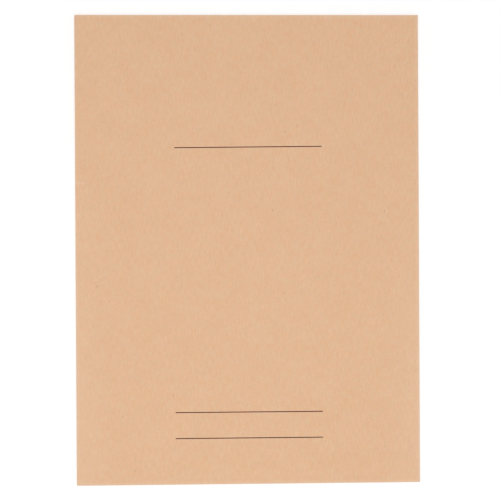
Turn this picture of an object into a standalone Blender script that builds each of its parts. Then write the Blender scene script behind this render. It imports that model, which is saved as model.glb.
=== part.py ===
"""A stapled accounting ledger with a folded card cover, closed and lying on its back.

Metres, +Z up. The fold runs along Y on the -X side, the head is towards +Y and the front
cover faces +Z. The origin is on the underside of the back cover, below the middle of it.

Every folded sheet is modelled as two halves that meet at the fold: a flat leaf and a
quarter-round lip that curves down to the middle of the fold. Both halves turn about one
line, the outermost line of the fold, so no half ever reaches past it into another.
"""

import math

import bmesh
import bpy

# Sizes of the ledger
BOOK_WIDTH = 0.220  # from the fold to the fore-edge
BOOK_HEIGHT = 0.300  # from head to tail
SHEET_COUNT = 10  # folded sheets, two leaves each
PAPER_THICKNESS = 0.00011
CARD_THICKNESS = 0.00035

# Sizes of a staple
STAPLE_LENGTH = 0.0125  # outside, along the fold
STAPLE_SPACING = 0.150  # between the middles of the two staples
WIRE_DIAMETER = 0.0005
WIRE_BEND_RADIUS = 0.0004  # at the middle of the wire
CLINCH_GAP = 0.0035  # between the two bent tips

# Clearances
PAGE_GAP = 0.00005  # air between neighbouring layers
FOLD_GAP = 0.00002  # between the two halves of one fold
WIRE_CLEARANCE = 0.00005  # around a staple

# Fineness of the round shapes
FOLD_STEPS = 7
BEND_STEPS = 4
WIRE_RESOLUTION = 2
SHARP_ANGLE = math.radians(30)  # a crease sharper than this keeps its edge when shaded

# Finishes: linear colour, roughness, metallic
BUFF_CARD = ((0.757, 0.480, 0.297), 0.78, 0.0)
LEDGER_PAPER = ((0.880, 0.850, 0.760), 0.85, 0.0)
ZINC_WIRE = ((0.620, 0.620, 0.600), 0.34, 1.0)

# Worked out from the sizes, all measured from the outermost line of the fold
WIRE_RADIUS = WIRE_DIAMETER / 2
LAYER_PITCH = PAPER_THICKNESS + PAGE_GAP
INNERMOST_RADIUS = (PAGE_GAP + FOLD_GAP) / 2
COVER_INNER_RADIUS = INNERMOST_RADIUS + SHEET_COUNT * LAYER_PITCH
FOLD_RADIUS = COVER_INNER_RADIUS + CARD_THICKNESS
CROWN_PLACE = WIRE_RADIUS
CLINCH_PLACE = FOLD_RADIUS - INNERMOST_RADIUS + WIRE_CLEARANCE + WIRE_RADIUS
LEG_PLACE = STAPLE_LENGTH / 2 - WIRE_RADIUS  # along the fold, from the middle of a staple
BEND_RADIUS = min(WIRE_BEND_RADIUS, (CLINCH_PLACE - CROWN_PLACE) / 2)

FRONT = 1
BACK = -1


def clear_scene():
    """Removes whatever the scene starts with."""
    for thing in list(bpy.data.objects):
        bpy.data.objects.remove(thing)


def finish(name, look):
    """A plain material from one of the finishes above."""
    colour, roughness, metallic = look
    material = bpy.data.materials.new(name)
    material.use_nodes = True
    shader = material.node_tree.nodes["Principled BSDF"]
    shader.inputs["Base Color"].default_value = (*colour, 1.0)
    shader.inputs["Roughness"].default_value = roughness
    shader.inputs["Metallic"].default_value = metallic
    material.diffuse_color = (*colour, 1.0)
    return material


def place(name, data, axis, y=0.0):
    """Adds an object whose origin is on the fold's outermost line."""
    thing = bpy.data.objects.new(name, data)
    bpy.context.scene.collection.objects.link(thing)
    thing.parent = axis
    thing.location.y = y
    return thing


def prism(name, outline, depth):
    """A mesh with this outline in X and Z, as deep as this along Y."""
    shape = bmesh.new()
    corners = [shape.verts.new((x, -depth / 2, z)) for x, z in outline]
    swept = bmesh.ops.extrude_face_region(shape, geom=[shape.faces.new(corners)])
    moved = [item for item in swept["geom"] if isinstance(item, bmesh.types.BMVert)]
    bmesh.ops.translate(shape, verts=moved, vec=(0.0, depth, 0.0))
    bmesh.ops.recalc_face_normals(shape, faces=shape.faces)
    mesh = bpy.data.meshes.new(name)
    shape.to_mesh(mesh)
    shape.free()
    return mesh


def lip_arc(radius, side):
    """Points from the fold's middle plane round to where the leaf runs flat."""
    start = math.asin(FOLD_GAP / 2 / radius)
    turn = (math.pi / 2 - start) / FOLD_STEPS
    angles = [start + step * turn for step in range(FOLD_STEPS + 1)]
    return [(FOLD_RADIUS - radius * math.cos(a), side * radius * math.sin(a)) for a in angles]


def half_outline(inner, thickness, side):
    """Cross-section of one half of a folded sheet, bent round this inner radius."""
    outer = inner + thickness
    edge = [(BOOK_WIDTH, side * outer), (BOOK_WIDTH, side * inner)]
    return lip_arc(outer, side) + edge + lip_arc(inner, side)[::-1]


def add_half(name, inner, thickness, side, look, axis, pockets):
    """One half of a folded sheet, with room at the fold for each staple."""
    outline = half_outline(inner, thickness, side)
    half = place(name, prism(name, outline, BOOK_HEIGHT), axis)
    half.data.materials.append(finish(name + "_finish", look))
    half.data.shade_smooth()
    half.data.set_sharp_from_angle(angle=SHARP_ANGLE)
    for pocket in pockets:
        cut = half.modifiers.new(pocket.name, "BOOLEAN")
        cut.operation = "DIFFERENCE"
        cut.solver = "EXACT"
        cut.object = pocket


def pocket_half_height():
    """Half the pocket's height: past the wire, to the middle of the next air gap."""
    first_gap = INNERMOST_RADIUS - PAGE_GAP / 2
    wire_reach = WIRE_RADIUS + WIRE_CLEARANCE
    layers = math.ceil((wire_reach - first_gap) / LAYER_PITCH)
    return first_gap + layers * LAYER_PITCH


def add_pocket(name, y, axis):
    """The room that a staple takes in the folds, as a cutter: crown, legs and bent tips."""
    side = WIRE_RADIUS + WIRE_CLEARANCE
    outside = -WIRE_DIAMETER
    inside = CLINCH_PLACE + side
    end = LEG_PLACE + side
    bend_start = LEG_PLACE - BEND_RADIUS - WIRE_CLEARANCE
    tip = CLINCH_GAP / 2 - WIRE_CLEARANCE
    half = [
        (outside, end),
        (inside, end),
        (inside, tip),
        (CLINCH_PLACE - side, tip),
        (CLINCH_PLACE - side, bend_start),
        (CROWN_PLACE + side, bend_start),
    ]
    outline = half + [(x, -along) for x, along in reversed(half)]
    pocket = place(name, prism(name, outline, 2 * pocket_half_height()), axis, y)
    pocket.rotation_euler.x = math.pi / 2  # lays the outline flat, along the fold
    pocket.hide_render = True
    pocket.display_type = "WIRE"
    return pocket


def wire_path():
    """The middle of a staple's wire: tip, bent leg, leg, crown, leg, bent leg, tip."""
    along = LEG_PLACE - BEND_RADIUS
    half = [(CLINCH_PLACE, CLINCH_GAP / 2)]
    for x, start in ((CLINCH_PLACE - BEND_RADIUS, 0.0), (CROWN_PLACE + BEND_RADIUS, math.pi / 2)):
        for step in range(BEND_STEPS + 1):
            angle = start + step * math.pi / 2 / BEND_STEPS
            half.append((x + BEND_RADIUS * math.cos(angle), along + BEND_RADIUS * math.sin(angle)))
    return half + [(x, -y) for x, y in reversed(half)]


def add_staple(name, y, axis):
    """A bent wire: its crown lies in the fold's back, its tips inside the middle fold."""
    curve = bpy.data.curves.new(name, "CURVE")
    curve.dimensions = "3D"
    curve.bevel_depth = WIRE_RADIUS
    curve.bevel_resolution = WIRE_RESOLUTION
    curve.use_fill_caps = True
    path = wire_path()
    wire = curve.splines.new("POLY")
    wire.points.add(len(path) - 1)
    for point, (x, along) in zip(wire.points, path):
        point.co = (x, along, 0.0, 1.0)
    wire.use_smooth = True
    curve.materials.append(finish(name + "_finish", ZINC_WIRE))
    place(name, curve, axis, y)


def build_ledger():
    """Makes the axis, the staples, the leaves and the cover."""
    clear_scene()
    axis = bpy.data.objects.new("fold_axis", None)
    bpy.context.scene.collection.objects.link(axis)
    axis.location = (-BOOK_WIDTH / 2, 0.0, FOLD_RADIUS)

    pockets = []
    for name, y in (("upper_staple", STAPLE_SPACING / 2), ("lower_staple", -STAPLE_SPACING / 2)):
        add_staple(name, y, axis)
        pockets.append(add_pocket(name + "_pocket", y, axis))

    for sheet in range(1, SHEET_COUNT + 1):
        inner = INNERMOST_RADIUS + (SHEET_COUNT - sheet) * LAYER_PITCH
        for leaf, side in ((sheet, FRONT), (2 * SHEET_COUNT + 1 - sheet, BACK)):
            name = f"leaf_{leaf:02d}"
            add_half(name, inner, PAPER_THICKNESS, side, LEDGER_PAPER, axis, pockets)

    for name, side in (("front_cover", FRONT), ("back_cover", BACK)):
        add_half(name, COVER_INNER_RADIUS, CARD_THICKNESS, side, BUFF_CARD, axis, pockets)


build_ledger()
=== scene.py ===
"""Looks of a stapled accounting ledger: card cover, ruled leaves, wire staples and a studio.

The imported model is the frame. The card cover and the staples are modelled again with finer
shapes, the printed rules are added on the front cover, and the leaves are pressed together.
Every surface gets a procedural finish. Lengths are metres unless a name ends in _mm.
"""

import logging
import math
from collections.abc import Iterable, Mapping, Sequence
from dataclasses import dataclass
from enum import Enum

import bmesh
import bpy
from mathutils import Euler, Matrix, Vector


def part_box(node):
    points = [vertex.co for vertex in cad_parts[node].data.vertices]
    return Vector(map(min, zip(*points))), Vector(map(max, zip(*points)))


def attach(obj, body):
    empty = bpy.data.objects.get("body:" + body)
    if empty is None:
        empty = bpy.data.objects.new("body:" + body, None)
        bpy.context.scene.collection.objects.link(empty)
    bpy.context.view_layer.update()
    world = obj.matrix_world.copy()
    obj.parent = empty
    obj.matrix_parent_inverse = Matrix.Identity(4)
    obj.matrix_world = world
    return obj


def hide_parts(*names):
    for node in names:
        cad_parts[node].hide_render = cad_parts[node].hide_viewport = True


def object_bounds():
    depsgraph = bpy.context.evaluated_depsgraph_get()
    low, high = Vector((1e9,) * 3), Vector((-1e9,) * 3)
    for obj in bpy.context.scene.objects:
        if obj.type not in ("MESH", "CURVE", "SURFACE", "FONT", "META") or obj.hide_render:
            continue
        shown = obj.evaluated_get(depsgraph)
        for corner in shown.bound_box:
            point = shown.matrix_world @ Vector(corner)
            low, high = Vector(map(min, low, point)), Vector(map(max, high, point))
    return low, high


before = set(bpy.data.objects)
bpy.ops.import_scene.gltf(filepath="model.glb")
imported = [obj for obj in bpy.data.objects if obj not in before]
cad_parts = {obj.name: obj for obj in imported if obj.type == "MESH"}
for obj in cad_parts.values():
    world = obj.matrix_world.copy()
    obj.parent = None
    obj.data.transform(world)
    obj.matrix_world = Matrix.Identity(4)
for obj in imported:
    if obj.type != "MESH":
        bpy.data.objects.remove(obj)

CAD_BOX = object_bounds()
MM = 0.001  # one millimetre
CREASE_ANGLE = math.radians(35)  # a crease sharper than this keeps its edge

# Sockets of a Mix node, which repeats its socket names for every kind of data
MIX_FACTOR, FLOAT_A, FLOAT_B, COLOUR_A, COLOUR_B, MIXED_COLOUR = 0, 2, 3, 6, 7, 2

LOG = logging.getLogger("ledger")

Socket = bpy.types.NodeSocket
Colour = tuple[float, float, float, float]
NodeInput = Socket | float | Sequence[float]


class Side(Enum):
    """The two halves of the folded cover, by their side of the fold's middle plane."""

    FRONT = 1
    BACK = -1


class Slot(Enum):
    """The record's material slots."""

    CARD = "buff_card"
    PAPER = "ledger_paper"
    WIRE = "zinc_wire"


def linear(code: str) -> Colour:
    """Turns an sRGB hex colour into linear light.

    Args:
        code: A colour such as "#E2B995".

    Returns:
        Red, green and blue in linear light, and an alpha of 1.
    """
    levels = [int(code[at : at + 2], 16) / 255 for at in (1, 3, 5)]
    red, green, blue = (
        level / 12.92 if level <= 0.04045 else ((level + 0.055) / 1.055) ** 2.4 for level in levels
    )
    return red, green, blue, 1.0


def add_node(
    tree: bpy.types.NodeTree,
    kind: str,
    inputs: Mapping[int | str, NodeInput],
    output: int | str = 0,
    **settings: str,
) -> Socket:
    """Adds one shader node with its settings and links.

    Args:
        tree: The node tree that gets the node.
        kind: The node's type, without the ShaderNode in front.
        inputs: For each input, by name or number, a value or the socket that feeds it.
        output: The output to hand back, by name or number.
        **settings: Properties of the node, such as its operation.

    Returns:
        The chosen output socket.
    """
    made = tree.nodes.new("ShaderNode" + kind)
    for name, setting in settings.items():
        setattr(made, name, setting)
    for key, value in inputs.items():
        if isinstance(value, Socket):
            tree.links.new(value, made.inputs[key])
        else:
            made.inputs[key].default_value = value
    return made.outputs[output]


def seen_as_white(tree: bpy.types.NodeTree) -> Socket:
    """Adds a value that is 1 for the rays that show the white ground and 0 for those that light.

    Args:
        tree: The node tree of the floor or of the world.

    Returns:
        The socket of that value.
    """
    rays = add_node(tree, "LightPath", {}).node.outputs
    seen: NodeInput = 0.0
    for ray in ("Is Camera Ray", "Is Glossy Ray", "Is Transmission Ray"):
        seen = add_node(tree, "Math", {0: seen, 1: rays[ray]}, operation="MAXIMUM")
    return seen


@dataclass(frozen=True)
class Ledger:
    """Where the closed ledger's edges lie.

    The fold's outermost line is at x = spine and z = middle, and runs along Y.
    """

    spine: float
    fore_edge: float
    tail: float
    head: float
    middle: float
    top: float

    @classmethod
    def from_frame(cls) -> "Ledger":
        """Reads the edges from the frame's own box."""
        low, high = CAD_BOX
        return cls(low.x, high.x, low.y, high.y, (low.z + high.z) / 2, high.z)

    @property
    def fold_radius(self) -> float:
        """Half the ledger's thickness, which is how far round the fold bends."""
        return self.top - self.middle


@dataclass(frozen=True)
class Finish:
    """What all finishes share: a name, and the values of the shader and of its patterns."""

    name: str
    ior: float = 1.5
    metallic: float = 0.0
    smoothest: float = 0.5
    roughest: float = 0.5
    bump_strength: float = 0.6
    octaves: float = 2.0  # finer layers in each noise

    def start(self) -> tuple[bpy.types.Material, bpy.types.NodeTree, bpy.types.Node]:
        """Makes an empty material.

        Returns:
            The material, its node tree and its Principled shader.
        """
        material = bpy.data.materials.new(self.name)
        material.use_nodes = True
        tree = material.node_tree
        shader = tree.nodes["Principled BSDF"]
        shader.inputs["IOR"].default_value = self.ior
        shader.inputs["Metallic"].default_value = self.metallic
        return material, tree, shader

    def roughen(
        self, shader: bpy.types.Node, dullness: Socket, height: Socket, depth_mm: float
    ) -> None:
        """Varies a shader's roughness between the finish's limits, and raises its surface.

        Args:
            shader: The Principled shader.
            dullness: From 0, where the surface is smoothest, to 1, where it is roughest.
            height: From 0 in the hollows to 1 on the heights.
            depth_mm: From the hollows to the heights.
        """
        tree = shader.id_data
        span = {"Value": dullness, "To Min": self.smoothest, "To Max": self.roughest}
        tree.links.new(add_node(tree, "MapRange", span), shader.inputs["Roughness"])
        bump = {"Height": height, "Strength": self.bump_strength, "Distance": depth_mm * MM}
        tree.links.new(add_node(tree, "Bump", bump), shader.inputs["Normal"])

    @staticmethod
    def place_in_mm(tree: bpy.types.NodeTree) -> Socket:
        """Adds the point's place on the closed ledger, in millimetres."""
        place = add_node(tree, "TexCoord", {}, "Object")
        return add_node(tree, "VectorMath", {0: place, "Scale": 1 / MM}, operation="SCALE")

    @staticmethod
    def edge_nearness(
        tree: bpy.types.NodeTree, place: Socket, ledger: Ledger, reach_mm: float
    ) -> Socket:
        """Adds a value that rises from 0 to 1 towards the nearest edge of the ledger.

        Args:
            tree: The material's node tree.
            place: The point's place in millimetres.
            ledger: Where the edges lie.
            reach_mm: How far from an edge the value starts to rise.

        Returns:
            The socket of that value.
        """
        axes = add_node(tree, "SeparateXYZ", {0: place}).node.outputs
        edges = (("X", ledger.spine), ("X", ledger.fore_edge), ("Y", ledger.tail), ("Y", ledger.head))
        nearest: NodeInput = reach_mm
        for axis, edge in edges:
            offset = add_node(tree, "Math", {0: axes[axis], 1: edge / MM}, operation="SUBTRACT")
            distance = add_node(tree, "Math", {0: offset}, operation="ABSOLUTE")
            nearest = add_node(tree, "Math", {0: nearest, 1: distance}, operation="MINIMUM")
        span = {"Value": nearest, "From Min": reach_mm, "From Max": 0.0}
        return add_node(tree, "MapRange", span, interpolation_type="SMOOTHSTEP")


@dataclass(frozen=True)
class BuffCard(Finish):
    """Buff manila card: unbleached pulp, rolled by machine and left without a coating.

    The eye gets a dull, warm tan with a faint grain along the fold and a fine tooth, ochre or
    greyish where fibres differ, with a few dark slivers of bark, paler rims partly from rubbing by
    handling and partly painted glare, one pale scuff across the fold, and painted light that pales
    the sides towards the tail.
    """

    name: str = "uncoated_manila_card"
    shade: str = "#D4A276"
    light: str = "#EDC7A3"
    ochre: str = "#E8AB70"
    greyish: str = "#D8C1B6"
    # Pale colour for the rims (partly rubbing, partly painted glare), the scuff, and the painted light
    # at the sides
    rub_and_painted_light: str = "#F3E0CC"
    speck: str = "#7A5A40"
    mean_tone: float = 0.5  # half-way from shade to light
    cloud_mm: float = 14.0
    cloud_share: float = 0.20
    # Real pulp fibres are about 0.03 mm wide: drawn as streaks this wide so that they show
    grain_width_mm: float = 0.8
    grain_length_mm: float = 5.0
    grain_share: float = 0.56
    # The rollers' tooth is about 0.1 mm: drawn this coarse so that it shows
    tooth_mm: float = 0.9
    tooth_share: float = 0.48
    tooth_depth_mm: float = 0.02
    # Fibres of other hues are drawn as patches this wide so that they show
    hue_mm: float = 3.2
    hue_share: float = 0.22
    hue_spread: float = 0.09  # how far a patch strays from both, towards any hue
    # Paler rims: partly rubbing and partly painted glare at the edges
    rub_and_haze_reach_mm: float = 3.0
    rub_and_haze_share: float = 0.24  # right at an edge, times the grain
    # Painted light: the sides grow paler towards the tail, where the lamp falls brighter
    painted_light_reach_mm: float = 26.0
    painted_light_share: float = 0.08
    speck_spacing_mm: float = 8.0
    speck_radius_mm: float = 0.22
    speck_slenderness: float = 4.0
    speck_share: float = 0.22
    speck_strength: float = 0.40
    scuff_below_head_mm: float = 107.0
    scuff_length_mm: float = 22.0
    scuff_height_mm: float = 3.2
    scuff_strength: float = 0.20
    smoothest: float = 0.72
    roughest: float = 0.88

    def material(self, ledger: Ledger) -> bpy.types.Material:
        """Makes the card's material.

        Args:
            ledger: Where the edges lie, for the paler rims and the painted light at the sides.

        Returns:
            The material.
        """
        material, tree, shader = self.start()
        place = self.place_in_mm(tree)
        grain_scale = (1 / self.grain_width_mm, 1 / self.grain_length_mm, 1 / self.grain_width_mm)
        along = add_node(tree, "VectorMath", {0: place, 1: grain_scale}, operation="MULTIPLY")
        grain = add_node(tree, "TexNoise", {"Vector": along, "Scale": 1.0, "Detail": self.octaves})
        tooth = add_node(
            tree,
            "TexNoise",
            {"Vector": place, "Scale": 1 / self.tooth_mm, "Detail": self.octaves},
        )
        pulp = self.pulp(tree, place, grain, tooth)
        # Pale from rubbing and the scuff, and from painted glare and painted light
        worn_and_lit = add_node(
            tree,
            "Mix",
            {
                MIX_FACTOR: self.wear_and_painted_light(tree, place, grain, ledger),
                COLOUR_A: self.mottle(tree, place, pulp),
                COLOUR_B: linear(self.rub_and_painted_light),
            },
            MIXED_COLOUR,
            data_type="RGBA",
        )
        tree.links.new(self.specks(tree, place, worn_and_lit), shader.inputs["Base Color"])
        self.roughen(shader, tooth, tooth, self.tooth_depth_mm)
        return material

    def pulp(
        self, tree: bpy.types.NodeTree, place: Socket, grain: Socket, tooth: Socket
    ) -> Socket:
        """Adds the pulp's colour, from shade to light by its clouds, grain and tooth.

        Args:
            tree: The material's node tree.
            place: The point's place in millimetres.
            grain: The grain's noise.
            tooth: The tooth's noise.

        Returns:
            The socket of the colour.
        """
        cloud = add_node(
            tree,
            "TexNoise",
            {"Vector": place, "Scale": 1 / self.cloud_mm, "Detail": self.octaves},
        )
        layers = ((cloud, self.cloud_share), (grain, self.grain_share), (tooth, self.tooth_share))
        # A noise averages a half, so half of every share is taken off first
        tone: NodeInput = self.mean_tone - sum(share for _, share in layers) / 2
        for noise, share in layers:
            tone = add_node(tree, "Math", {0: noise, 1: share, 2: tone}, operation="MULTIPLY_ADD")
        return add_node(
            tree,
            "Mix",
            {MIX_FACTOR: tone, COLOUR_A: linear(self.shade), COLOUR_B: linear(self.light)},
            MIXED_COLOUR,
            data_type="RGBA",
        )

    def mottle(self, tree: bpy.types.NodeTree, place: Socket, under: Socket) -> Socket:
        """Mixes patches of ochre and greyish fibres into a colour.

        Args:
            tree: The material's node tree.
            place: The point's place in millimetres.
            under: The colour of the pulp.

        Returns:
            The socket of the mottled colour.
        """
        fibres = add_node(
            tree,
            "TexNoise",
            {"Vector": place, "Scale": 1 / self.hue_mm, "Detail": self.octaves},
            "Color",
        )
        kind = add_node(tree, "SeparateColor", {0: fibres}, "Green")
        hue = add_node(
            tree,
            "Mix",
            {MIX_FACTOR: kind, COLOUR_A: linear(self.ochre), COLOUR_B: linear(self.greyish)},
            MIXED_COLOUR,
            data_type="RGBA",
        )
        varied = add_node(
            tree,
            "Mix",
            {MIX_FACTOR: self.hue_spread, COLOUR_A: hue, COLOUR_B: fibres},
            MIXED_COLOUR,
            data_type="RGBA",
            blend_type="LINEAR_LIGHT",
        )
        return add_node(
            tree,
            "Mix",
            {MIX_FACTOR: self.hue_share, COLOUR_A: under, COLOUR_B: varied},
            MIXED_COLOUR,
            data_type="RGBA",
        )

    def wear_and_painted_light(
        self, tree: bpy.types.NodeTree, place: Socket, grain: Socket, ledger: Ledger
    ) -> Socket:
        """Adds how far the card is paled: rims partly by rubbing and partly by painted glare,
        the scuff, and painted light towards the tail at the sides.

        Args:
            tree: The material's node tree.
            place: The point's place in millimetres.
            grain: The grain's noise, which breaks the paler rims up.
            ledger: Where the edges lie.

        Returns:
            The socket of how pale the card gets, from 0 to 1.
        """
        # Paler rims, partly rubbing and partly painted glare at the edges
        rim = self.edge_nearness(tree, place, ledger, self.rub_and_haze_reach_mm)
        patchy = add_node(tree, "Math", {0: rim, 1: grain}, operation="MULTIPLY")
        rub_and_haze = add_node(tree, "Math", {0: patchy, 1: self.rub_and_haze_share}, operation="MULTIPLY")
        scuff = self.scuff(tree, place, ledger)
        rubbing_glare_and_scuff = add_node(tree, "Math", {0: rub_and_haze, 1: scuff}, operation="MAXIMUM")
        # Painted light: paler towards the tail at the sides, as where the lamp falls brighter
        axes = add_node(tree, "SeparateXYZ", {0: place}).node.outputs
        aside = add_node(tree, "Math", {0: axes["X"]}, operation="ABSOLUTE")
        edge = ledger.fore_edge / MM
        across = {
            "Value": aside,
            "From Min": edge - self.painted_light_reach_mm,
            "From Max": edge,
            "To Max": self.painted_light_share,
        }
        painted_light = add_node(tree, "MapRange", across, interpolation_type="SMOOTHSTEP")
        length = {"Value": axes["Y"], "From Min": ledger.head / MM, "From Max": ledger.tail / MM}
        down = add_node(tree, "MapRange", length, interpolation_type="SMOOTHSTEP")
        return add_node(tree, "Math", {0: painted_light, 1: down, 2: rubbing_glare_and_scuff}, operation="MULTIPLY_ADD")

    def scuff(self, tree: bpy.types.NodeTree, place: Socket, ledger: Ledger) -> Socket:
        """Adds the scuff across the fold, as a soft oval.

        Args:
            tree: The material's node tree.
            place: The point's place in millimetres.
            ledger: Where the edges lie.

        Returns:
            The socket of how pale the scuff makes the card, from 0 to 1.
        """
        centre = (ledger.spine / MM, ledger.head / MM - self.scuff_below_head_mm, 0.0)
        offset = add_node(tree, "VectorMath", {0: place, 1: centre}, operation="SUBTRACT")
        shape = (2 / self.scuff_length_mm, 2 / self.scuff_height_mm, 0.0)
        scaled = add_node(tree, "VectorMath", {0: offset, 1: shape}, operation="MULTIPLY")
        away = add_node(tree, "VectorMath", {0: scaled}, "Value", operation="LENGTH")
        span = {"Value": away, "From Min": 1.0, "From Max": 0.0, "To Max": self.scuff_strength}
        return add_node(tree, "MapRange", span, interpolation_type="SMOOTHSTEP")

    def specks(self, tree: bpy.types.NodeTree, place: Socket, under: Socket) -> Socket:
        """Scatters slivers of bark along the grain, at most one in each cell of a loose grid.

        Args:
            tree: The material's node tree.
            place: The point's place in millimetres.
            under: The colour between the specks.

        Returns:
            The socket of the colour with specks.
        """
        slender = (1.0, 1 / self.speck_slenderness, 1.0)
        lying = add_node(tree, "VectorMath", {0: place, 1: slender}, operation="MULTIPLY")
        cells = add_node(
            tree,
            "TexVoronoi",
            {"Vector": lying, "Scale": 1 / self.speck_spacing_mm},
            voronoi_dimensions="2D",
        ).node.outputs
        chance = add_node(tree, "SeparateColor", {0: cells["Color"]})
        radius = add_node(
            tree,
            "MapRange",
            {
                "Value": chance,
                "From Min": 1 - self.speck_share,
                "From Max": 1.0,
                "To Max": self.speck_radius_mm / self.speck_spacing_mm,
            },
        )
        inside = add_node(tree, "Math", {0: cells["Distance"], 1: radius}, operation="LESS_THAN")
        factor = add_node(tree, "Math", {0: inside, 1: self.speck_strength}, operation="MULTIPLY")
        return add_node(
            tree,
            "Mix",
            {MIX_FACTOR: factor, COLOUR_A: under, COLOUR_B: linear(self.speck)},
            MIXED_COLOUR,
            data_type="RGBA",
        )


@dataclass(frozen=True)
class RuledPaper(Finish):
    """Ledger paper: a sized writing paper, feint-ruled in blue and red by a pen ruling machine.

    The eye gets a warm white sheet, a little toned towards its edges, with pale blue writing
    lines, red column lines in pairs, and fainter blue lines between the figures of an amount. A
    line is paler where its pen ran dry.
    """

    name: str = "ruled_ledger_paper"
    sheet: str = "#F7F1E5"
    toned: str = "#F0DDBD"
    feint: str = "#8FB1CF"
    figure: str = "#B4CADB"
    column: str = "#C4655C"
    heading_mm: float = 32.0  # from the head edge to the heading's upper line
    heading_depth_mm: float = 12.0
    foot_mm: float = 10.0
    line_pitch_mm: float = 8.0
    feint_width_mm: float = 0.30
    column_width_mm: float = 0.30
    pair_gap_mm: float = 1.1
    figure_width_mm: float = 0.20
    figure_pitch_mm: float = 5.0
    flow_mm: float = 11.0  # how soon a pen's flow of ink changes
    driest: float = 0.3  # a line's strength where the flow is least
    fullest: float = 1.4  # and where it is most, past 1 so that most of a line is full
    # Column lines, from the left of a page: date, particulars, folio, debit, credit, balance
    columns_mm: tuple[float, ...] = (16.0, 30.0, 109.0, 121.0, 151.0, 181.0, 211.0)
    amounts_from: int = 3  # the number of the line where the amounts start, counted from 0
    tone_reach_mm: float = 10.0
    tone_share: float = 0.40
    leaf_pitch_mm: float = 0.16
    leaf_share: float = 0.05
    # Pulp fibres and tooth, drawn coarse enough to show
    pulp_mm: float = 1.2
    pulp_share: float = 0.06
    cockle_mm: float = 28.0
    cockle_depth_mm: float = 0.20
    page_level: float = 0.5  # a face whose normal rises less than this is a cut edge, unruled
    smoothest: float = 0.70
    roughest: float = 0.84

    def material(self, ledger: Ledger) -> bpy.types.Material:
        """Makes the paper's material, with its ruling on both sides of a leaf.

        Args:
            ledger: Where the edges lie, for the ruling and the toned rims.

        Returns:
            The material.
        """
        material, tree, shader = self.start()
        place = self.place_in_mm(tree)
        pulp = add_node(
            tree,
            "TexNoise",
            {"Vector": place, "Scale": 1 / self.pulp_mm, "Detail": self.octaves},
        )
        tone = self.toning(tree, place, pulp, ledger)
        colour = add_node(
            tree,
            "Mix",
            {MIX_FACTOR: tone, COLOUR_A: linear(self.sheet), COLOUR_B: linear(self.toned)},
            MIXED_COLOUR,
            data_type="RGBA",
        )
        ruled = self.ruling(tree, place, colour, ledger)
        tree.links.new(ruled, shader.inputs["Base Color"])
        cockle = add_node(
            tree,
            "TexNoise",
            {"Vector": place, "Scale": 1 / self.cockle_mm, "Detail": self.octaves},
        )
        self.roughen(shader, pulp, cockle, self.cockle_depth_mm)
        return material

    def ruling(
        self, tree: bpy.types.NodeTree, place: Socket, colour: Socket, ledger: Ledger
    ) -> Socket:
        """Rules both sides of a leaf, but not its cut edges.

        Args:
            tree: The material's node tree.
            place: The point's place in millimetres.
            colour: The colour of the sheet.
            ledger: Where the edges lie.

        Returns:
            The socket of the colour with the ruling.
        """
        normal = add_node(tree, "TexCoord", {}, "Normal")
        facing = add_node(tree, "SeparateXYZ", {0: normal}, "Z")
        across, down = self.page_axes(tree, place, facing, ledger)
        level = add_node(tree, "Math", {0: facing}, operation="ABSOLUTE")
        on_page = add_node(tree, "Math", {0: level, 1: self.page_level}, operation="GREATER_THAN")
        flow = add_node(
            tree,
            "TexNoise",
            {"Vector": place, "Scale": 1 / self.flow_mm, "Detail": self.octaves},
        )
        density = add_node(
            tree, "MapRange", {"Value": flow, "To Min": self.driest, "To Max": self.fullest}
        )
        inked = add_node(tree, "Math", {0: on_page, 1: density}, operation="MULTIPLY")
        rulings = (
            (self.figure, self.figure_lines(tree, across, down)),
            (self.feint, self.feint_lines(tree, down, ledger)),
            (self.column, self.column_lines(tree, across, down)),
        )
        for ink, lines in rulings:
            printed = add_node(tree, "Math", {0: lines, 1: inked}, operation="MULTIPLY")
            colour = add_node(
                tree,
                "Mix",
                {MIX_FACTOR: printed, COLOUR_A: colour, COLOUR_B: linear(ink)},
                MIXED_COLOUR,
                data_type="RGBA",
            )
        return colour

    def toning(
        self, tree: bpy.types.NodeTree, place: Socket, pulp: Socket, ledger: Ledger
    ) -> Socket:
        """Adds how far the sheet has toned: more near its edges, and each leaf a little its own.

        Args:
            tree: The material's node tree.
            place: The point's place in millimetres.
            pulp: The pulp's noise.
            ledger: Where the edges lie.

        Returns:
            The socket of the toning, from 0 to about 1.
        """
        rim = self.edge_nearness(tree, place, ledger, self.tone_reach_mm)
        height = add_node(tree, "SeparateXYZ", {0: place}, "Z")
        leaf = add_node(tree, "Math", {0: height, 1: self.leaf_pitch_mm}, operation="SNAP")
        own = add_node(tree, "TexWhiteNoise", {"W": leaf}, noise_dimensions="1D")
        tone: NodeInput = 0.0
        layers = ((rim, self.tone_share), (own, self.leaf_share), (pulp, self.pulp_share))
        for layer, share in layers:
            tone = add_node(tree, "Math", {0: layer, 1: share, 2: tone}, operation="MULTIPLY_ADD")
        return tone

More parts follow.
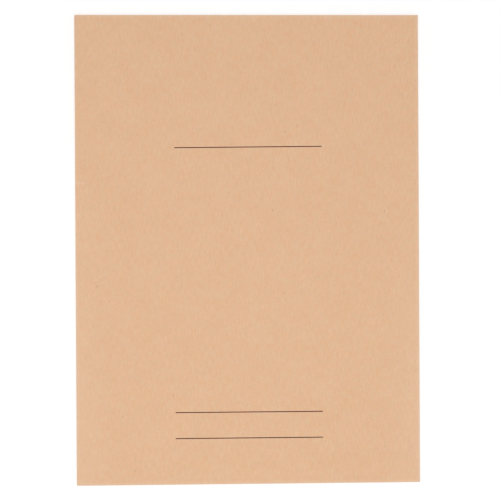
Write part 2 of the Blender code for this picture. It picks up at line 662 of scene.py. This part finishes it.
    @staticmethod
    def page_axes(
        tree: bpy.types.NodeTree, place: Socket, facing: Socket, ledger: Ledger
    ) -> tuple[Socket, Socket]:
        """Adds the place on a page: from its left edge, and from its head.

        A right-hand page has the fold on its left. Its back has the fold on its right.

        Args:
            tree: The material's node tree.
            place: The point's place in millimetres.
            facing: How far the surface faces up on the closed ledger, from -1 to 1.
            ledger: Where the edges lie.

        Returns:
            The sockets of both distances, in millimetres.
        """
        axes = add_node(tree, "SeparateXYZ", {0: place}).node.outputs
        is_right = add_node(tree, "Math", {0: facing, 1: 0.0}, operation="GREATER_THAN")
        from_fold = add_node(
            tree, "Math", {0: axes["X"], 1: ledger.spine / MM}, operation="SUBTRACT"
        )
        from_fore_edge = add_node(
            tree, "Math", {0: ledger.fore_edge / MM, 1: axes["X"]}, operation="SUBTRACT"
        )
        across = add_node(
            tree, "Mix", {MIX_FACTOR: is_right, FLOAT_A: from_fore_edge, FLOAT_B: from_fold}
        )
        down = add_node(tree, "Math", {0: ledger.head / MM, 1: axes["Y"]}, operation="SUBTRACT")
        return across, down

    @staticmethod
    def repeated(
        tree: bpy.types.NodeTree, value: Socket, start: float, pitch: float, width: float
    ) -> Socket:
        """Adds a mask of evenly spaced lines.

        Args:
            tree: The material's node tree.
            value: The distance that the lines divide.
            start: Where one of the lines lies.
            pitch: From one line to the next.
            width: A line's width.

        Returns:
            The socket of the mask, 1 on a line and 0 elsewhere.
        """
        offset = add_node(tree, "Math", {0: value, 1: start}, operation="SUBTRACT")
        gap = add_node(tree, "Math", {0: offset, 1: pitch / 2}, operation="PINGPONG")
        return add_node(tree, "Math", {0: gap, 1: width / 2}, operation="LESS_THAN")

    def feint_lines(self, tree: bpy.types.NodeTree, down: Socket, ledger: Ledger) -> Socket:
        """Adds the writing lines, from the heading to the foot.

        Args:
            tree: The material's node tree.
            down: The distance from the head of the page, in millimetres.
            ledger: Where the edges lie.

        Returns:
            The socket of the mask, 1 on a line and 0 elsewhere.
        """
        first = self.heading_mm + self.heading_depth_mm
        last = (ledger.head - ledger.tail) / MM - self.foot_mm
        lines = self.repeated(tree, down, first, self.line_pitch_mm, self.feint_width_mm)
        reach = (last - first) / 2 + self.feint_width_mm
        area = {0: down, 1: (first + last) / 2, 2: reach}
        written = add_node(tree, "Math", area, operation="COMPARE")
        return add_node(tree, "Math", {0: lines, 1: written}, operation="MULTIPLY")

    def figure_lines(self, tree: bpy.types.NodeTree, across: Socket, down: Socket) -> Socket:
        """Adds the fine lines between the figures of the amounts.

        Args:
            tree: The material's node tree.
            across: The distance from the left of the page, in millimetres.
            down: The distance from its head.

        Returns:
            The socket of the mask, 1 on a line and 0 elsewhere.
        """
        first, last = self.columns_mm[self.amounts_from], self.columns_mm[-1]
        lines = self.repeated(tree, across, first, self.figure_pitch_mm, self.figure_width_mm)
        area = {0: across, 1: (first + last) / 2, 2: (last - first) / 2}
        amounts = add_node(tree, "Math", area, operation="COMPARE")
        below = self.heading_mm + self.heading_depth_mm
        under = add_node(tree, "Math", {0: down, 1: below}, operation="GREATER_THAN")
        ruled = add_node(tree, "Math", {0: lines, 1: amounts}, operation="MULTIPLY")
        return add_node(tree, "Math", {0: ruled, 1: under}, operation="MULTIPLY")

    def column_lines(self, tree: bpy.types.NodeTree, across: Socket, down: Socket) -> Socket:
        """Adds the paired column lines and the pair above the heading.

        Args:
            tree: The material's node tree.
            across: The distance from the left of the page, in millimetres.
            down: The distance from its head.

        Returns:
            The socket of the mask, 1 on a line and 0 elsewhere.
        """
        half_gap, half_width = self.pair_gap_mm / 2, self.column_width_mm / 2
        columns: NodeInput = 0.0
        for middle in self.columns_mm:
            for line in (middle - half_gap, middle + half_gap):
                band = {0: across, 1: line, 2: half_width}
                mark = add_node(tree, "Math", band, operation="COMPARE")
                columns = add_node(tree, "Math", {0: columns, 1: mark}, operation="MAXIMUM")
        under = add_node(tree, "Math", {0: down, 1: self.heading_mm}, operation="GREATER_THAN")
        lines = add_node(tree, "Math", {0: columns, 1: under}, operation="MULTIPLY")
        for line in (self.heading_mm - half_gap, self.heading_mm + half_gap):
            band = {0: down, 1: line, 2: half_width}
            mark = add_node(tree, "Math", band, operation="COMPARE")
            lines = add_node(tree, "Math", {0: lines, 1: mark}, operation="MAXIMUM")
        return lines


@dataclass(frozen=True)
class ZincWire(Finish):
    """Zinc-coated steel wire, drawn through a die.

    The eye gets a bright grey metal with soft highlights, dulled in streaks along the wire.
    """

    name: str = "zinc_coated_drawn_wire"
    metallic: float = 1.0
    bright: str = "#CBCDCB"
    dull: str = "#A9ACAC"
    # Drawing marks are finer than 0.02 mm: drawn this wide so that they show
    streak_width_mm: float = 0.08
    streak_length_mm: float = 1.6
    streak_depth_mm: float = 0.004
    smoothest: float = 0.26
    roughest: float = 0.44

    def material(self) -> bpy.types.Material:
        """Makes the wire's material.

        Returns:
            The material.
        """
        material, tree, shader = self.start()
        place = self.place_in_mm(tree)
        scale = (1 / self.streak_width_mm, 1 / self.streak_length_mm, 1 / self.streak_width_mm)
        along = add_node(tree, "VectorMath", {0: place, 1: scale}, operation="MULTIPLY")
        streak = add_node(
            tree, "TexNoise", {"Vector": along, "Scale": 1.0, "Detail": self.octaves}
        )
        colour = add_node(
            tree,
            "Mix",
            {MIX_FACTOR: streak, COLOUR_A: linear(self.bright), COLOUR_B: linear(self.dull)},
            MIXED_COLOUR,
            data_type="RGBA",
        )
        tree.links.new(colour, shader.inputs["Base Color"])
        self.roughen(shader, streak, streak, self.streak_depth_mm)
        return material


@dataclass(frozen=True)
class PrintingInk(Finish):
    """Brown-black letterpress ink, pressed into bare card.

    The card soaks it up, so hardly any film is left to shine. The eye gets a thin dull line that
    is a little paler where the card's tooth took less ink.
    """

    name: str = "letterpress_ink"
    ior: float = 1.25
    full: str = "#3C040E"
    starved: str = "#54242A"
    patch_mm: float = 0.9
    patch_depth_mm: float = 0.006
    starved_share: float = 0.3
    smoothest: float = 0.55
    roughest: float = 0.75

    def material(self) -> bpy.types.Material:
        """Makes the ink's material.

        Returns:
            The material.
        """
        material, tree, shader = self.start()
        place = self.place_in_mm(tree)
        patch = add_node(
            tree,
            "TexNoise",
            {"Vector": place, "Scale": 1 / self.patch_mm, "Detail": self.octaves},
        )
        thin = add_node(tree, "Math", {0: patch, 1: self.starved_share}, operation="MULTIPLY")
        colour = add_node(
            tree,
            "Mix",
            {MIX_FACTOR: thin, COLOUR_A: linear(self.full), COLOUR_B: linear(self.starved)},
            MIXED_COLOUR,
            data_type="RGBA",
        )
        tree.links.new(colour, shader.inputs["Base Color"])
        self.roughen(shader, patch, patch, self.patch_depth_mm)
        return material


def add_piece(
    name: str, shape: bmesh.types.BMesh, materials: Iterable[bpy.types.Material]
) -> bpy.types.Object:
    """Turns a bmesh into a piece of the scene.

    Args:
        name: The piece's name.
        shape: The finished bmesh, which is freed.
        materials: The piece's materials, in the order of their numbers.

    Returns:
        The piece.
    """
    mesh = bpy.data.meshes.new(name)
    bmesh.ops.recalc_face_normals(shape, faces=shape.faces)
    shape.to_mesh(mesh)
    shape.free()
    for material in materials:
        mesh.materials.append(material)
    mesh.shade_smooth()
    mesh.set_sharp_from_angle(angle=CREASE_ANGLE)
    piece = bpy.data.objects.new(name, mesh)
    bpy.context.scene.collection.objects.link(piece)
    return piece


def extruded(outline: Iterable[Sequence[float]], sweep: Sequence[float]) -> bmesh.types.BMesh:
    """Extrudes a flat outline.

    Args:
        outline: The outline's points, in order.
        sweep: How far it is extruded along each axis.

    Returns:
        A closed bmesh.
    """
    shape = bmesh.new()
    face = shape.faces.new([shape.verts.new(point) for point in outline])
    swept = bmesh.ops.extrude_face_region(shape, geom=[face])
    moved = [item for item in swept["geom"] if isinstance(item, bmesh.types.BMVert)]
    bmesh.ops.translate(shape, verts=moved, vec=sweep)
    bmesh.ops.recalc_face_normals(shape, faces=shape.faces)
    return shape


def carve(piece: bpy.types.Object, cutter: bpy.types.Object) -> None:
    """Cuts one object out of another for good, and removes the cutter.

    Args:
        piece: The piece to cut.
        cutter: The shape of the cut.
    """
    cut = piece.modifiers.new("cut", "BOOLEAN")
    cut.operation = "DIFFERENCE"
    cut.solver = "EXACT"
    cut.object = cutter
    carved = bpy.data.meshes.new_from_object(
        piece.evaluated_get(bpy.context.evaluated_depsgraph_get())
    )
    piece.modifiers.remove(cut)
    piece.data = carved
    bpy.data.objects.remove(cutter)


@dataclass(kw_only=True)
class Staples:
    """The two wire staples through the fold, with round wire and chisel-cut tips."""

    zinc: bpy.types.Material
    nodes: tuple[str, ...] = ("upper_staple", "lower_staple")
    body: str = "leaf_11"
    bend_radius: float = 0.4 * MM
    tip_gap: float = 3.5 * MM
    tip_slant: float = 1.0  # how far a cut tip rises along the wire, in wire radii
    bend_steps: int = 8
    wire_sides: int = 16

    def build(self) -> list[bpy.types.Object]:
        """Models both staples, and returns the two pieces."""
        return [self.staple(node) for node in self.nodes]

    def staple(self, node: str) -> bpy.types.Object:
        """Models one staple, in place of its plain solid.

        Args:
            node: The solid that it stands for.

        Returns:
            The piece.
        """
        low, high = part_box(node)
        path = self.wire_path(low, high)
        radius = (high.z - low.z) / 2
        shape = bmesh.new()
        rings = [self.ring(shape, path, at, radius) for at in range(len(path))]
        for before, after in zip(rings, rings[1:]):
            for at in range(self.wire_sides):
                beside = (at + 1) % self.wire_sides
                shape.faces.new((before[at], before[beside], after[beside], after[at]))
        shape.faces.new(rings[0])
        shape.faces.new(rings[-1])
        piece = add_piece(node + "_wire", shape, (self.zinc,))
        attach(piece, self.body)
        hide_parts(node)
        return piece

    def wire_path(self, low: Vector, high: Vector) -> list[Vector]:
        """Works out the middle of the wire: tip, leg, crown in the fold's back, leg and tip.

        Args:
            low: The staple's lowest corner.
            high: Its highest corner.

        Returns:
            Points along the wire.
        """
        middle = (low + high) / 2
        radius = (high.z - low.z) / 2
        crown, clinch = low.x + radius, high.x - radius
        bend = min(self.bend_radius, (clinch - crown) / 2)
        bend_start = high.y - middle.y - radius - bend
        half = [(clinch, self.tip_gap / 2 + self.tip_slant * radius)]  # the cut tip reaches on
        for x, first in ((clinch - bend, 0.0), (crown + bend, math.pi / 2)):
            for step in range(self.bend_steps + 1):
                angle = first + step * math.pi / 2 / self.bend_steps
                half.append((x + bend * math.cos(angle), bend_start + bend * math.sin(angle)))
        both = half + [(x, -y) for x, y in reversed(half)]
        return [Vector((x, middle.y + y, middle.z)) for x, y in both]

    def ring(
        self, shape: bmesh.types.BMesh, path: Sequence[Vector], at: int, radius: float
    ) -> list[bmesh.types.BMVert]:
        """Adds the ring of points round one place on the wire, slanted at a cut tip.

        Args:
            shape: The staple's bmesh.
            path: The middle of the wire.
            at: Which point of it.
            radius: The wire's radius.

        Returns:
            The ring's points.
        """
        before, after = path[max(at - 1, 0)], path[min(at + 1, len(path) - 1)]
        along = (after - before).normalized()
        up = Vector((0.0, 0.0, 1.0))
        out = along.cross(up)
        slant = {0: self.tip_slant, len(path) - 1: -self.tip_slant}.get(at, 0.0)
        points = []
        for step in range(self.wire_sides):
            angle = 2 * math.pi * step / self.wire_sides
            offset = out * math.cos(angle) + up * math.sin(angle) + along * slant * math.cos(angle)
            points.append(shape.verts.new(path[at] + offset * radius))
        return points

    def room(self, node: str, spare: float) -> list[tuple[float, float]]:
        """Works out the plan of the room that one staple takes: crown, legs and bent tips.

        Args:
            node: The staple's solid.
            spare: The air on each side of the wire.

        Returns:
            Points in X and Y.
        """
        low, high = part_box(node)
        middle = (low.y + high.y) / 2
        wire = high.z - low.z
        outside, inside = low.x - wire, high.x + spare
        crown, clinch = low.x + wire + spare, high.x - wire - spare
        end = high.y - middle + spare
        bend_start = high.y - middle - wire / 2 - self.bend_radius - spare
        tip = self.tip_gap / 2 - spare
        half = [
            (outside, end),
            (inside, end),
            (inside, tip),
            (clinch, tip),
            (clinch, bend_start),
            (crown, bend_start),
        ]
        both = half + [(x, -y) for x, y in reversed(half)]
        return [(x, middle + y) for x, y in both]


@dataclass(kw_only=True)
class FoldedStock:
    """Sheets folded round the fold's outermost line, as halves that meet at its middle plane."""

    ledger: Ledger
    staples: Staples
    fold_gap: float = 0.02 * MM
    fold_steps: int = 16
    room_half_height: float = 0.31 * MM  # to the air between two leaves, just past the wire
    room_spare: float = 0.05 * MM
    flat_from: float = 0.9999  # a face whose normal is this near to an axis is flat

    def lip(self, radius: float, side: Side) -> list[tuple[float, float]]:
        """Works out the quarter round from the fold's middle plane to the flat.

        Args:
            radius: The bend's radius.
            side: Which half.

        Returns:
            Points in X and Z.
        """
        start = math.asin(self.fold_gap / 2 / radius)
        turn = (math.pi / 2 - start) / self.fold_steps
        centre = self.ledger.spine + self.ledger.fold_radius
        angles = [start + step * turn for step in range(self.fold_steps + 1)]
        return [
            (centre - radius * math.cos(a), self.ledger.middle + side.value * radius * math.sin(a))
            for a in angles
        ]

    def half(self, outer: float, thickness: float, side: Side) -> bmesh.types.BMesh:
        """Models half a folded sheet: round the fold, flat to the fore-edge, and back inside.

        Args:
            outer: The outside radius of the fold.
            thickness: The sheet's thickness.
            side: Which half.

        Returns:
            The half, from tail to head.
        """
        inner = max(outer - thickness, self.fold_gap)
        fore_edge = [
            (self.ledger.fore_edge, self.ledger.middle + side.value * radius)
            for radius in (outer, inner)
        ]
        section = self.lip(outer, side) + fore_edge + self.lip(inner, side)[::-1]
        outline = [(x, self.ledger.tail, z) for x, z in section]
        return extruded(outline, (0.0, self.ledger.head - self.ledger.tail, 0.0))

    def make_room(self, piece: bpy.types.Object) -> None:
        """Cuts the room that the staples' wire takes in a fold, and keeps flat faces flat.

        Args:
            piece: The half to cut.
        """
        bottom = self.ledger.middle - self.room_half_height
        for node in self.staples.nodes:
            outline = [(x, y, bottom) for x, y in self.staples.room(node, self.room_spare)]
            room = extruded(outline, (0.0, 0.0, 2 * self.room_half_height))
            carve(piece, add_piece(node + "_room", room, ()))
        for face in piece.data.polygons:
            face.use_smooth = max(map(abs, face.normal)) < self.flat_from


@dataclass(kw_only=True)
class CardCover(FoldedStock):
    """The card cover: one folded sheet of card, with its cut edges a little rounded."""

    card: bpy.types.Material
    paper: bpy.types.Material
    thickness: float = 0.35 * MM
    edge_round: float = 0.09 * MM
    edge_steps: int = 3
    edge_profile: float = 0.5  # a part of a circle
    sharp_angle: float = math.radians(60)

    def build(self) -> list[bpy.types.Object]:
        """Models both halves, and returns the two pieces."""
        return [self.cover(Side.FRONT, "front_cover"), self.cover(Side.BACK, "back_cover")]

    def cover(self, side: Side, node: str) -> bpy.types.Object:
        """Models one half, in place of its plain solid.

        Args:
            side: Which half.
            node: The solid that it stands for, and the body that carries it.

        Returns:
            The piece.
        """
        shape = self.half(self.ledger.fold_radius, self.thickness, side)
        self.soften(shape)
        piece = add_piece(node + "_card", shape, (self.card, self.paper))
        self.make_room(piece)
        self.line_fold(piece, side)
        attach(piece, node)
        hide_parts(node)
        return piece

    def soften(self, shape: bmesh.types.BMesh) -> None:
        """Rounds the cut edges of the card, and leaves the two edges where the halves meet.

        Args:
            shape: The half.
        """
        edges = [
            edge
            for edge in shape.edges
            if edge.calc_face_angle() > self.sharp_angle
            and any(abs(vert.co.z - self.ledger.middle) > self.fold_gap for vert in edge.verts)
        ]
        bmesh.ops.bevel(
            shape,
            geom=edges,
            offset=self.edge_round,
            segments=self.edge_steps,
            profile=self.edge_profile,
            affect="EDGES",
            clamp_overlap=True,
        )

    def line_fold(self, piece: bpy.types.Object, side: Side) -> None:
        """Gives the faces where the halves meet the paper's finish.

        On the real ledger the sheets run through the fold there, and the open gutter shows paper.

        Args:
            piece: The half.
            side: Which half.
        """
        for face in piece.data.polygons:
            inward = face.normal.z * side.value < 0
            if inward and abs(face.center.z - self.ledger.middle) < self.fold_gap:
                face.material_index = 1


@dataclass(kw_only=True)
class Leaves(FoldedStock):
    """The twenty leaves of the ten folded sheets, counted from the front."""

    paper: bpy.types.Material
    # Sheet and air together are 0.16 mm: pressed leaves touch, so the sheet takes most of it
    thickness: float = 0.145 * MM

    def build(self) -> list[bpy.types.Object]:
        """Models every leaf, and returns the pieces in the order of their names."""
        return [self.leaf(node) for node in sorted(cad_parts) if node.startswith("leaf_")]

    def leaf(self, node: str) -> bpy.types.Object:
        """Models one leaf, in place of its plain solid.

        Args:
            node: The solid that it stands for, and the body that carries it.

        Returns:
            The piece.
        """
        low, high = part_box(node)
        side = Side.FRONT if low.z > self.ledger.middle else Side.BACK
        outer = max(high.z - self.ledger.middle, self.ledger.middle - low.z)
        piece = add_piece(node + "_paper", self.half(outer, self.thickness, side), (self.paper,))
        self.make_room(piece)
        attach(piece, node)
        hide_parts(node)
        return piece


@dataclass(kw_only=True)
class PrintedRules:
    """The three blank rules printed on the front cover, as thin films of ink."""

    ledger: Ledger
    ink: bpy.types.Material
    from_fold: float = 63.4 * MM
    length: float = 94.2 * MM
    width: float = 0.58 * MM
    film: float = 0.008 * MM
    title_below_head: float = 84.4 * MM
    upper_above_tail: float = 46.1 * MM
    lower_above_tail: float = 29.5 * MM
    title_skew: float = math.radians(0.39)  # the print is a little out of square with the head

    def build(self) -> list[bpy.types.Object]:
        """Models the rules.

        Returns:
            The three pieces.
        """
        places = (
            ("title_rule", self.ledger.head - self.title_below_head, self.title_skew),
            ("upper_foot_rule", self.ledger.tail + self.upper_above_tail, 0.0),
            ("lower_foot_rule", self.ledger.tail + self.lower_above_tail, 0.0),
        )
        return [self.rule(name, y, skew) for name, y, skew in places]

    def rule(self, name: str, y: float, skew: float) -> bpy.types.Object:
        """Models one rule on the front cover.

        Args:
            name: The piece's name.
            y: Where its middle lies.
            skew: How far it is turned, in radians.

        Returns:
            The piece.
        """
        half = self.width / 2
        start = -self.length / 2
        section = [
            (start, -half, 0.0),
            (start, half, 0.0),
            (start, half - self.film, self.film),
            (start, self.film - half, self.film),
        ]
        shape = extruded(section, (self.length, 0.0, 0.0))
        middle = Vector((self.ledger.spine + self.from_fold + self.length / 2, y, self.ledger.top))
        turn = Euler((0.0, 0.0, skew)).to_matrix()
        bmesh.ops.rotate(shape, verts=shape.verts, cent=(0.0, 0.0, 0.0), matrix=turn)
        bmesh.ops.translate(shape, verts=shape.verts, vec=middle)
        piece = add_piece(name, shape, (self.ink,))
        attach(piece, "front_cover")
        return piece


@dataclass(frozen=True)
class SeamlessFloor(Finish):
    """White paper background, rolled out and lit.

    The eye gets plain white with the object's soft shadow, and the white runs on to the horizon.
    """

    name: str = "seamless_white_paper"
    bounce: str = "#F1F1F1"
    shadow_share: float = 0.42  # the share of the white that a shadow can take away
    glow: float = 0.62  # the share that it can't
    fade_from: float = 0.30  # from the ledger's middle, where the shadow starts to fade
    fade_to: float = 0.75  # and where the ground is plain white

    def material(self) -> bpy.types.Material:
        """Makes the floor's material: a plain diffuse white, seen as a lit white ground.

        Returns:
            The material.
        """
        material, tree, _ = self.start()
        seen = seen_as_white(tree)
        place = add_node(tree, "TexCoord", {}, "Object")
        away = add_node(tree, "VectorMath", {0: place}, "Value", operation="LENGTH")
        span = {"Value": away, "From Min": self.fade_from, "From Max": self.fade_to}
        far = add_node(tree, "MapRange", span, interpolation_type="SMOOTHSTEP")
        grey = (self.shadow_share, self.shadow_share, self.shadow_share, 1.0)
        shaded = add_node(tree, "BsdfDiffuse", {"Color": grey})
        glow = add_node(tree, "Emission", {"Strength": self.glow})
        near_ground = add_node(tree, "AddShader", {0: shaded, 1: glow})
        white = add_node(tree, "Emission", {"Strength": 1.0})
        ground = add_node(tree, "MixShader", {0: far, 1: near_ground, 2: white})
        bounce = add_node(tree, "BsdfDiffuse", {"Color": linear(self.bounce)})
        surface = add_node(tree, "MixShader", {0: seen, 1: bounce, 2: ground})
        tree.links.new(surface, tree.nodes["Material Output"].inputs["Surface"])
        return material


@dataclass(kw_only=True)
class Studio:
    """The floor, the soft light and the camera, straight above the ledger as in the photo."""

    floor: bpy.types.Material
    floor_half: float = 3.0
    floor_drop: float = 0.02 * MM
    white: str = "#FFFFFF"
    horizon: float = 1.4  # the world's strength low down
    zenith: float = 0.15  # and straight up
    key_power: float = 4.45
    key_side: float = 0.7
    key_place: tuple[float, float, float] = (-0.05, -0.17, 0.93)
    lens_mm: float = 78.35
    sensor_mm: float = 36.0
    aim: tuple[float, float, float] = (1.52 * MM, -0.28 * MM, 0.0)
    distance: float = 0.70
    tilt_deg: tuple[float, float, float] = (-0.183, -1.572, -0.301)

    def build(self) -> None:
        """Sets up the floor, the world, the lamp, the camera and the view transform."""
        self.lay_floor()
        self.light_world()
        self.hang_key()
        self.place_camera()
        bpy.context.scene.view_settings.view_transform = "Standard"

    def lay_floor(self) -> None:
        """Lays the floor just under the ledger."""
        shape = bmesh.new()
        bmesh.ops.create_grid(shape, x_segments=1, y_segments=1, size=self.floor_half)
        bmesh.ops.translate(shape, verts=shape.verts, vec=(0.0, 0.0, -self.floor_drop))
        add_piece("floor", shape, (self.floor,))

    def light_world(self) -> None:
        """Makes the world a soft white light, brightest low down, that looks plain white itself."""
        world = bpy.data.worlds.new("studio_world")
        world.use_nodes = True
        tree = world.node_tree
        seen = seen_as_white(tree)
        sky = add_node(tree, "TexCoord", {}, "Generated")
        upward = add_node(tree, "SeparateXYZ", {0: sky}, "Z")
        soft = add_node(
            tree, "MapRange", {"Value": upward, "To Min": self.horizon, "To Max": self.zenith}
        )
        strength = add_node(tree, "Mix", {MIX_FACTOR: seen, FLOAT_A: soft, FLOAT_B: 1.0})
        background = tree.nodes["Background"]
        background.inputs["Color"].default_value = linear(self.white)
        tree.links.new(strength, background.inputs["Strength"])
        bpy.context.scene.world = world

    def hang_key(self) -> None:
        """Hangs one large soft lamp above the tail end of the fold."""
        lamp = bpy.data.lights.new("key_softbox", "AREA")
        lamp.energy = self.key_power
        lamp.size = self.key_side
        holder = bpy.data.objects.new("key_softbox", lamp)
        holder.location = self.key_place
        holder.rotation_euler = (-Vector(self.key_place)).to_track_quat("-Z", "Y").to_euler()
        bpy.context.scene.collection.objects.link(holder)

    def place_camera(self) -> None:
        """Puts the camera where the photo's outline of the cover says it stood."""
        lens = bpy.data.cameras.new("camera")
        lens.lens = self.lens_mm
        lens.sensor_width = self.sensor_mm
        camera = bpy.data.objects.new("camera", lens)
        turn = Euler([math.radians(angle) for angle in self.tilt_deg])
        camera.rotation_euler = turn
        camera.location = Vector(self.aim) + turn.to_matrix() @ Vector((0.0, 0.0, self.distance))
        bpy.context.scene.collection.objects.link(camera)
        bpy.context.scene.camera = camera


def main() -> None:
    """Builds the ledger's pieces in order, then the studio, and reports each piece."""
    logging.basicConfig(level=logging.INFO, format="%(name)s: %(message)s")
    ledger = Ledger.from_frame()
    card = BuffCard().material(ledger)
    paper = RuledPaper().material(ledger)
    staples = Staples(zinc=ZincWire().material())
    assemblies = (
        CardCover(ledger=ledger, staples=staples, card=card, paper=paper),
        PrintedRules(ledger=ledger, ink=PrintingInk().material()),
        Leaves(ledger=ledger, staples=staples, paper=paper),
        staples,
    )
    for assembly in assemblies:
        for piece in assembly.build():
            LOG.info("%s: %s, %d faces", type(assembly).__name__, piece.name, len(piece.data.polygons))
    Studio(floor=SeamlessFloor().material()).build()


if __name__ == "__main__":
    main()
